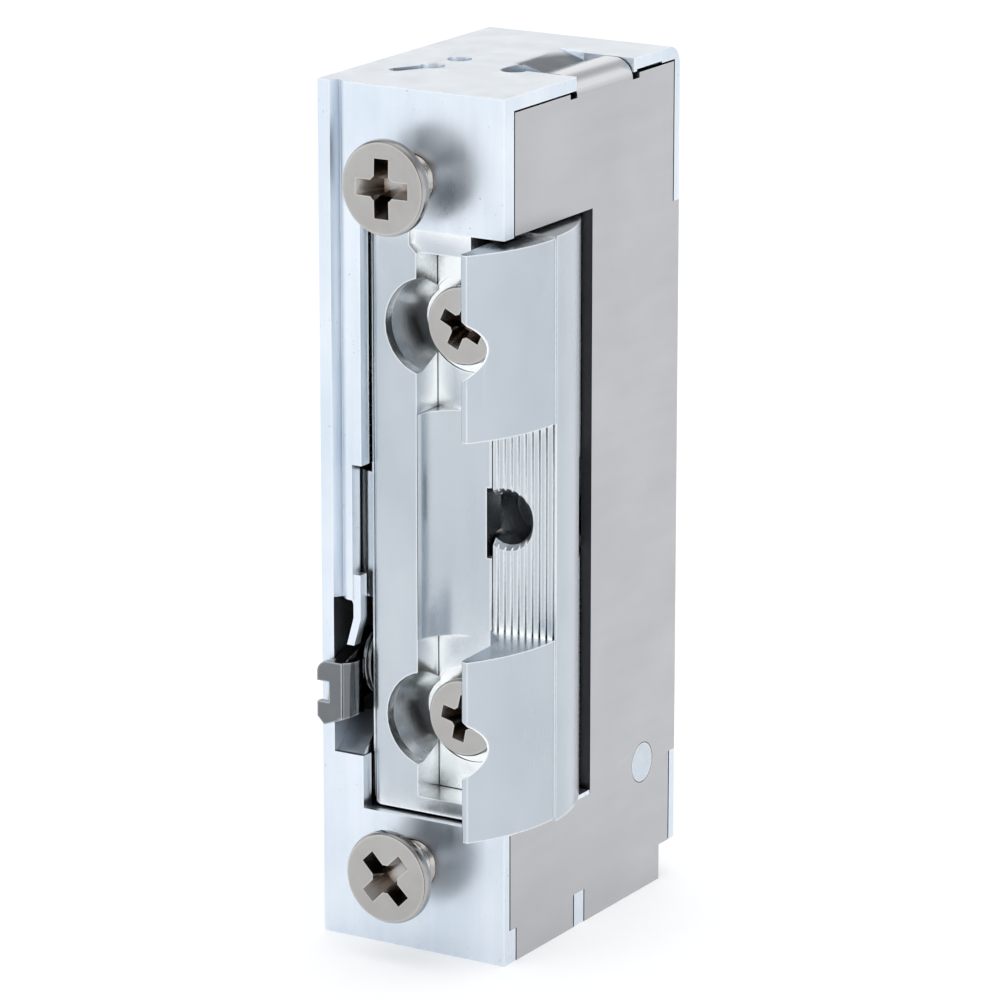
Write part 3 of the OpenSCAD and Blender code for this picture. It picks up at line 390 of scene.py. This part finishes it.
def turned_metal(name, base, roughness, size_mm=0.12, grain=(1, 1, 1), tint=None, cavity_tint=None,
                 edge_wear_and_highlight_gain=1.6):
    """Plated or ground steel with fine machining marks, and hollows darkened towards a tint if one is given
    for them.
    """
    s = Shader(name, 1.0, roughness)
    marks = s.noise(size_mm, detail=4, stretch=grain)
    stain = s.ramp(s.noise(size_mm=1.8, detail=3, shift=(7, 3, 1)), [(0.35, 0.0), (0.7, 1.0)])
    colour = s.mix(stain, base, tint or scaled(base, 0.9))
    # Rounded edges lightened by a gain on the base colour: wear and a painted highlight
    colour = worn_and_highlit_edges(s, colour, scaled(base, edge_wear_and_highlight_gain), strength=0.7)
    if cavity_tint:
        hollow = s.ramp(openness(s, depth_mm=1.2, samples=16), [(0.35, 1.0), (0.75, 0.0)])
        colour = shaded_cavities(s, s.mix(hollow, colour, cavity_tint), darkest=0.7, bore=0.6)
    else:
        colour = shaded_cavities(s, colour)
    return s.finish(colour, s.roughness_from(marks), s.bump(marks, strength=0.1, depth_mm=0.005))


def plastic(name, base, roughness):
    """Moulded plastic with an eroded texture and faint dust."""
    s = Shader(name, 0.0, roughness)
    dust = s.ramp(s.noise(size_mm=2.5, detail=3), [(0.4, 0.0), (0.75, 1.0)])
    colour = s.mix(dust, base, scaled(base, 1.5, lift=0.01))
    rough = s.roughness_from(s.noise(size_mm=0.6, detail=3, shift=(1, 2, 3)))
    grain = s.noise(size_mm=0.08, detail=2)
    return s.finish(colour, rough, s.bump(grain, strength=0.4, depth_mm=0.01))


def copper_enamel(name):
    """Enamelled copper wire."""
    s = Shader(name, 1.0, (0.2, 0.36))
    s.bsdf.inputs["Coat Weight"].default_value = 0.6
    s.bsdf.inputs["Coat Roughness"].default_value = 0.12
    tone = s.noise(size_mm=0.8, detail=3, stretch=(1, 1, 0.3))
    colour = s.mix(tone, (0.52, 0.19, 0.07), (0.75, 0.36, 0.16))
    grain = s.noise(size_mm=0.1, detail=2)
    return s.finish(colour, s.roughness_from(tone), s.bump(grain, strength=0.2, depth_mm=0.01))


def floor_material():
    s = Shader("floor", 0.0, (0.55, 0.65))
    cloud = s.noise(size_mm=60.0, detail=2)
    s.bsdf.inputs["Emission Color"].default_value = (*WHITE, 1)
    s.bsdf.inputs["Emission Strength"].default_value = 0.3
    colour = s.mix(cloud, (0.95, 0.95, 0.955), (0.965, 0.965, 0.965))
    return s.finish(colour, s.roughness_from(cloud))


def make_materials():
    """One material for each of the record's material slots."""
    return {
        # Zinc: upward faces painted lighter as painted light from above
        "zinc_casting": cast_metal(
            "zinc", dark=(0.61, 0.69, 0.78), light=(0.79, 0.84, 0.90), roughness=(0.24, 0.42), streak=0.5,
            # The sloping top face is painted dark as painted shade
            pits=0.8, edge=0.55, darkest=0.45, bore=0.45, painted_shade_facing=RAMP_FACING, top=(0.84, 0.88, 0.92)
        ),
        "keeper_casting": cast_metal(
            "keeper", dark=(0.44, 0.49, 0.54), light=(0.53, 0.575, 0.62), roughness=(0.2, 0.3), streak=0.15,
            # Half-open pockets painted near white as painted light
            pits=0.05, edge=0.9, darkest=0.9, painted_pocket_light=(0.97, 0.99, 0.99)
        ),
        "insert_casting": cast_metal(
            "insert", dark=(0.45, 0.50, 0.55), light=(0.52, 0.565, 0.61), roughness=(0.2, 0.3), streak=0.1,
            # Half-open pockets painted near white as painted light
            pits=0.05, edge=0.9, darkest=0.75, painted_pocket_light=(0.93, 0.96, 0.97)
        ),
        "cover_sheet": sheet_metal(
            # Front-facing cut edges painted nearly black as painted shade
            "cover_sheet", base=(0.492, 0.496, 0.51), roughness=(0.36, 0.48), edge=(0.05, 0.05, 0.055)
        ),
        "rivet_steel": turned_metal("rivet", (0.60, 0.66, 0.72), roughness=(0.25, 0.42)),
        "nickel_screw": turned_metal(
            "nickel", (0.42, 0.415, 0.41), roughness=(0.13, 0.22), size_mm=0.3, tint=(0.39, 0.38, 0.365),
            cavity_tint=(0.27, 0.20, 0.15)
        ),
        "pin_steel": turned_metal("pin_steel", (0.56, 0.57, 0.59), roughness=(0.18, 0.32), grain=(1, 1, 0.4)),
        "spring_steel": turned_metal("spring_steel", (0.50, 0.50, 0.51), roughness=(0.2, 0.34)),
        "lever_steel": turned_metal("lever_steel", (0.42, 0.43, 0.45), roughness=(0.3, 0.5), size_mm=0.2),
        "magnet_iron": turned_metal("magnet_iron", (0.52, 0.53, 0.55), roughness=(0.3, 0.48), size_mm=0.2),
        "brass": turned_metal("brass", (0.72, 0.52, 0.20), roughness=(0.22, 0.38)),
        "dark_steel": turned_metal(
            # A strong gain on the edges: a painted highlight on the dark steel, besides its wear
            "dark_steel", (0.17, 0.18, 0.19), roughness=(0.08, 0.18), size_mm=0.5, edge_wear_and_highlight_gain=5
        ),
        "black_plastic": plastic("black_plastic", (0.018, 0.018, 0.02), roughness=(0.38, 0.55)),
        "lead_insulation": plastic("lead_insulation", (0.35, 0.02, 0.015), roughness=(0.3, 0.45)),
        "diode_plastic": plastic("diode_plastic", (0.02, 0.02, 0.024), roughness=(0.25, 0.4)),
        "copper_wire": copper_enamel("copper_wire"),
    }


def wear_material(piece, material):
    piece.data.materials.clear()
    piece.data.materials.append(material)


# ---------------------------------------------------------------- carried-over nodes

def add_bevel(piece, width_mm, segments, angle):
    """Rounds a piece's edges that turn by more than an angle."""
    bevel = piece.modifiers.new("edges", "BEVEL")
    bevel.width = width_mm * MM
    bevel.segments = segments
    bevel.limit_method = "ANGLE"
    bevel.angle_limit = angle
    return bevel


def soften(node_name):
    """Joins a node's faces and rounds its edges with modifiers, without moving a vertex of its own."""
    piece = NODES[node_name]
    mesh = piece.data
    custom = mesh.attributes.get("custom_normal")
    if custom:
        mesh.attributes.remove(custom)
    mesh.shade_smooth()
    weld = piece.modifiers.new("weld", "WELD")
    weld.merge_threshold = WELD_MM * MM
    bevel = add_bevel(piece, EDGE_ROUND[node_name], EDGE_SEGMENTS, EDGE_ANGLE)
    bevel.use_clamp_overlap = True
    bevel.miter_outer = "MITER_ARC"
    normals = piece.modifiers.new("normals", "WEIGHTED_NORMAL")
    normals.mode = "FACE_AREA"
    normals.keep_sharp = True


def dress_nodes(materials):
    """Materials of the carried-over nodes, and rounded edges where EDGE_ROUND gives them."""
    for subpart in frame["record"]["subparts"]:
        node = subpart["node"]
        wear_material(NODES[node], materials[subpart["material_slot"]])
        if node in EDGE_ROUND:
            soften(node)


# ---------------------------------------------------------------- mesh pieces

def mesh_piece(name, build):
    """A new mesh object from a function that fills a bmesh."""
    mesh = bpy.data.meshes.new(name)
    bm = bmesh.new()
    build(bm)
    bmesh.ops.recalc_face_normals(bm, faces=bm.faces)
    bm.to_mesh(mesh)
    bm.free()
    mesh.shade_smooth()
    piece = bpy.data.objects.new(name, mesh)
    bpy.context.scene.collection.objects.link(piece)
    return piece


def join(name, parts):
    """One object from several meshes."""
    bpy.ops.object.select_all(action="DESELECT")
    for part in parts:
        part.select_set(True)
    bpy.context.view_layer.objects.active = parts[0]
    bpy.ops.object.join()
    parts[0].name = name
    return parts[0]


def skin(bm, rings):
    """Faces between each ring of vertices and the next."""
    for first, second in zip(rings, rings[1:]):
        count = len(first)
        for k in range(count):
            n = (k + 1) % count
            bm.faces.new((first[k], first[n], second[n], second[k]))


def tube(bm, points, radius, sides=14):
    """A round wire along a list of points, with domed ends."""
    rings = []
    last = len(points) - 1
    dome = 0.5 * radius
    side_way = None
    for i, point in enumerate(points):
        ahead = points[min(i + 1, last)] - points[max(i - 1, 0)]
        ahead.normalize()
        if side_way is None:
            side_way = ahead.orthogonal().normalized()
        side_way = (side_way - ahead * side_way.dot(ahead)).normalized()
        up = ahead.cross(side_way)
        ring = []
        for k in range(sides):
            a = 2 * math.pi * k / sides
            ring.append(bm.verts.new(point + (side_way * math.cos(a) + up * math.sin(a)) * radius))
        rings.append(ring)
    skin(bm, rings)
    for ring, outward in ((rings[0], points[0] - points[1]), (rings[-1], points[-1] - points[-2])):
        middle = sum((v.co for v in ring), Vector()) / sides
        tip = bm.verts.new(middle + outward.normalized() * dome)
        for k in range(sides):
            bm.faces.new((ring[k], ring[(k + 1) % sides], tip))


def helix_points(start, axis, radius, pitch, turns, start_angle=0.0, steps=36):
    """Points of a helix that starts round a point and runs along the axis 'X' or 'Z'."""
    points = []
    for i in range(int(turns * steps) + 1):
        a = start_angle + 2 * math.pi * i / steps
        along = pitch * i / steps
        u, v = radius * math.cos(a), radius * math.sin(a)
        step = (along, u, v) if axis == "X" else (u, v, along)
        points.append(start + Vector(step))
    return points


# ---------------------------------------------------------------- screws

def ring_row(radius_at, y):
    """A ring of points round the Y axis, whose radius is a function of the angle."""
    row = []
    for k in range(SCREW_SIDES):
        angle = 2 * math.pi * k / SCREW_SIDES
        radius = radius_at(angle)
        row.append(Vector((radius * math.cos(angle), y, radius * math.sin(angle))))
    return row


def round_row(radius, y):
    return ring_row(lambda angle: radius, y)


def thread_row(screw, y):
    """A ring through the helical thread, whose crest turns with y."""
    thread = THREAD_DEPTH * screw.pitch

    def radius_at(angle):
        phase = (y / screw.pitch - angle / (2 * math.pi)) % 1.0
        crest = 1 - abs(2 * phase - 1)
        return screw.shank_r - thread + thread * min(1.0, crest * THREAD_RAISE)

    return ring_row(radius_at, y)


def screw_rows(screw):
    """Rows of a countersunk screw along +Y from its rim's plane: crowned head, rim, cone and thread."""
    rows = [round_row(screw.head_r * share, -CROWN * (1 - share ** 2)) for share in CROWN_SHARES]
    rounding = RIM_ROUNDING * screw.rim
    for k in range(RIM_ROUNDING_ROWS):
        a = math.pi / 2 * k / (RIM_ROUNDING_ROWS - 1)
        radius = screw.head_r - rounding + rounding * math.sin(a)
        rows.append(round_row(radius, rounding * (1 - math.cos(a))))
    cone = screw.head_r - screw.shank_r
    rows.append(round_row(screw.head_r, screw.rim))
    rows.append(round_row(screw.shank_r, screw.rim + cone))
    y = screw.rim + cone + THREAD_RUN_OUT * screw.pitch
    while y < screw.length - screw.pitch:
        rows.append(thread_row(screw, y))
        y += screw.pitch / THREAD_ROWS
    root_r = screw.shank_r - THREAD_DEPTH * screw.pitch
    rows.append(round_row(root_r, screw.length - THREAD_END * screw.pitch))
    rows.append(round_row(screw.shank_r * SCREW_END_SHARE, screw.length))
    return rows


def skin_rows(bm, rows):
    """A closed skin over rows of points, with flat ends."""
    rings = [[bm.verts.new(p) for p in row] for row in rows]
    skin(bm, rings)
    bm.faces.new(rings[0])
    bm.faces.new(list(reversed(rings[-1])))


def driver_wings(bm, recess, spin):
    """Two opposite wings of the driver, as one tapered bar across it."""
    arm, half_width = recess.arm, recess.width / 2
    corners = [(-arm, -half_width), (arm, -half_width), (arm, half_width), (-arm, half_width)]
    top = [bm.verts.new(spin @ Vector((x, -DRIVER_LEAD, z))) for x, z in corners]
    low = [
        bm.verts.new(spin @ Vector((x * WING_LENGTH_TAPER, recess.depth, z * WING_WIDTH_TAPER)))
        for x, z in corners
    ]
    bm.faces.new(top)
    bm.faces.new(list(reversed(low)))
    for k in range(4):
        n = (k + 1) % 4
        bm.faces.new((top[k], low[k], low[n], top[n]))


def cross_driver(bm, recess):
    """A cross driver's shape: four tapered wings around a pointed core, along +Y."""
    for turn in range(2):
        driver_wings(bm, recess, Matrix.Rotation(math.pi / 2 * turn, 4, "Y"))
    core_depth = recess.depth * CORE_DEPTH_SHARE
    along_y = Matrix.Rotation(-math.pi / 2, 4, "X")
    middle = Matrix.Translation((0, (core_depth - DRIVER_LEAD) / 2, 0))
    bmesh.ops.create_cone(
        bm, cap_ends=True, segments=CORE_SIDES, radius1=recess.core, radius2=recess.core * CORE_TAPER,
        depth=core_depth + DRIVER_LEAD, matrix=middle @ along_y
    )


def cut_and_bake(piece, cutter):
    """Cuts the cutter out of a piece and keeps the result as its mesh."""
    cut = piece.modifiers.new("cut", "BOOLEAN")
    cut.operation = "DIFFERENCE"
    cut.solver = "EXACT"
    cut.use_self = True
    cut.object = cutter
    graph = bpy.context.evaluated_depsgraph_get()
    baked = bpy.data.meshes.new_from_object(piece.evaluated_get(graph))
    piece.modifiers.clear()
    piece.data = baked
    bpy.data.objects.remove(cutter)


def make_screw(name, screw, recess, at, turn, material):
    """One countersunk cross-recess screw with the top of its head at 'at', pointing along +Y."""
    rows = screw_rows(screw)
    piece = mesh_piece(name, lambda bm: skin_rows(bm, rows))
    cutter = mesh_piece(name + "_cutter", lambda bm: cross_driver(bm, recess))
    cutter.matrix_world = Matrix.Rotation(turn, 4, "Y")
    bpy.context.view_layer.update()
    cut_and_bake(piece, cutter)
    piece.data.transform(Matrix.Translation(at + Vector((0, CROWN, 0))))
    piece.data.shade_smooth()
    piece.data.set_sharp_from_angle(angle=SCREW_SHARP_ANGLE)
    add_bevel(piece, SCREW_BEVEL_MM, segments=2, angle=SCREW_BEVEL_ANGLE)
    wear_material(piece, material)
    return piece


def make_screw_pair(name, node, body, rim, shank_r, pitch, recess, turns, material):
    """A node's upper and lower screw as one piece. The turns are the two recesses' angles."""
    low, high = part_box(node)
    head_r = (high.x - low.x) / 2
    x = (high.x + low.x) / 2
    screw = Screw(head_r, rim, shank_r, high.y - low.y - CROWN, pitch)
    places = (("_top", high.z - head_r), ("_bottom", low.z + head_r))
    screws = [
        make_screw(name + word, screw, recess, Vector((x, low.y, z)), turn, material)
        for (word, z), turn in zip(places, turns)
    ]
    pair = join(name + "_pair", screws)
    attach(pair, body)
    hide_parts(node)


def make_screws(nickel):
    make_screw_pair(
        "faceplate_screw", "faceplate_screws", "housing", rim=0.7 * MM, shank_r=2 * MM, pitch=0.7 * MM,
        recess=Recess(arm=2.35 * MM, width=1.25 * MM, depth=1.9 * MM, core=1.15 * MM),
        turns=(0.0, math.radians(45)), material=nickel
    )
    make_screw_pair(
        "insert_screw", "insert_screws", "keeper", rim=0.5 * MM, shank_r=1.6 * MM, pitch=0.6 * MM,
        recess=Recess(arm=1.9 * MM, width=1.05 * MM, depth=1.6 * MM, core=0.95 * MM),
        turns=(math.radians(25), math.radians(12)), material=nickel
    )


# ---------------------------------------------------------------- springs and winding

def make_spring(name, node, slot_name, materials, axis, wire_mm, pitch_mm, turns, start_angle=0.0):
    """A round-wire coil in a CAD spring's place, along the given axis. wire_mm is the wire's radius."""
    low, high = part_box(node)
    index = "XYZ".index(axis)
    wire = wire_mm * MM
    across = [high[i] - low[i] for i in range(3) if i != index]
    radius = min(across) / 2 - wire
    start = (low + high) / 2
    start[index] = low[index] + wire
    points = helix_points(start, axis, radius, pitch_mm * MM, turns, start_angle)
    piece = mesh_piece(name, lambda bm: tube(bm, points, wire))
    wear_material(piece, materials[slot_name])
    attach(piece, "housing")
    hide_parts(node)
    return piece


def make_springs(materials):
    make_spring("keeper_return_coil", "keeper_spring", "spring_steel", materials,
                axis="Z", wire_mm=0.3, pitch_mm=0.8, turns=8, start_angle=math.pi / 2)
    make_spring("lever_return_coil", "lever_spring", "spring_steel", materials,
                axis="X", wire_mm=0.22, pitch_mm=0.55, turns=4)
    coil = make_spring("armature_coil", "armature_spring", "spring_steel", materials,
                       axis="Z", wire_mm=0.12, pitch_mm=0.5, turns=4)
    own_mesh(coil)
    make_spring("release_return_coil", "release_spring", "dark_steel", materials,
                axis="X", wire_mm=0.2, pitch_mm=0.42, turns=2)


def make_winding(material):
    """The winding's outer layer as wire turns beside each other, over a plain core."""
    low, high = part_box("coil_winding")
    wire = 0.11 * MM
    radius = (high.x - low.x) / 2 - wire
    centre = (low + high) / 2
    length = high.z - low.z - 2 * wire
    start = Vector((centre.x, centre.y, low.z + wire))
    points = helix_points(start, "Z", radius, 2 * wire, length / (2 * wire), steps=28)

    def build(bm):
        tube(bm, points, wire, sides=6)
        bmesh.ops.create_cone(bm, cap_ends=True, segments=48, radius1=radius, radius2=radius,
                              depth=length, matrix=Matrix.Translation(centre))

    piece = mesh_piece("wound_coil", build)
    wear_material(piece, material)
    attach(piece, "housing")
    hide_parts("coil_winding")


# ---------------------------------------------------------------- stage

def make_floor():
    floor = mesh_piece(
        "floor", lambda bm: bmesh.ops.create_grid(bm, x_segments=1, y_segments=1, size=FLOOR_SIZE / 2)
    )
    floor.data.transform(Matrix.Translation((0, 0, cad_low.z)))
    wear_material(floor, floor_material())


def make_softbox(name, place, size, power, colour):
    data = bpy.data.lights.new(name, "AREA")
    data.shape = "RECTANGLE"
    data.size, data.size_y = size
    data.energy = power
    data.color = colour
    lamp = bpy.data.objects.new(name, data)
    bpy.context.scene.collection.objects.link(lamp)
    lamp.location = place
    lamp.rotation_mode = "QUATERNION"
    lamp.rotation_quaternion = (Vector(LIGHT_AIM) - Vector(place)).to_track_quat("-Z", "Y")


def make_studio():
    """A world whose brightness changes with height only."""
    world = bpy.data.worlds.new("studio")
    bpy.context.scene.world = world
    world.use_nodes = True
    tree = world.node_tree
    coords = tree.nodes.new("ShaderNodeTexCoord")
    split = tree.nodes.new("ShaderNodeSeparateXYZ")
    ramp = tree.nodes.new("ShaderNodeValToRGB")
    set_stops(ramp.color_ramp, [(height, scaled(STUDIO_TINT, level)) for height, level in STUDIO_LEVELS])
    background = tree.nodes["Background"]
    tree.links.new(coords.outputs["Generated"], split.inputs[0])
    tree.links.new(split.outputs["Z"], ramp.inputs[0])
    tree.links.new(ramp.outputs["Color"], background.inputs["Color"])
    background.inputs["Strength"].default_value = 1.0


def make_camera():
    data = bpy.data.cameras.new("camera")
    data.lens = LENS_MM
    data.clip_start, data.clip_end = CLIP_RANGE
    camera = bpy.data.objects.new("camera", data)
    bpy.context.scene.collection.objects.link(camera)
    aim = (cad_low + cad_high) / 2 + Vector(AIM_OFFSET_MM) * MM
    back = Vector((
        math.sin(CAMERA_AZIMUTH) * math.cos(CAMERA_ELEVATION),
        -math.cos(CAMERA_AZIMUTH) * math.cos(CAMERA_ELEVATION),
        math.sin(CAMERA_ELEVATION),
    ))
    camera.location = aim + back * CAMERA_DISTANCE
    camera.rotation_mode = "QUATERNION"
    camera.rotation_quaternion = (-back).to_track_quat("-Z", "Y")
    bpy.context.scene.camera = camera


bpy.context.scene.view_settings.view_transform = "Standard"
materials = make_materials()
dress_nodes(materials)
make_screws(materials["nickel_screw"])
make_springs(materials)
make_winding(materials["copper_wire"])
make_floor()
for softbox in SOFTBOXES:
    make_softbox(*softbox)
make_studio()
make_camera()
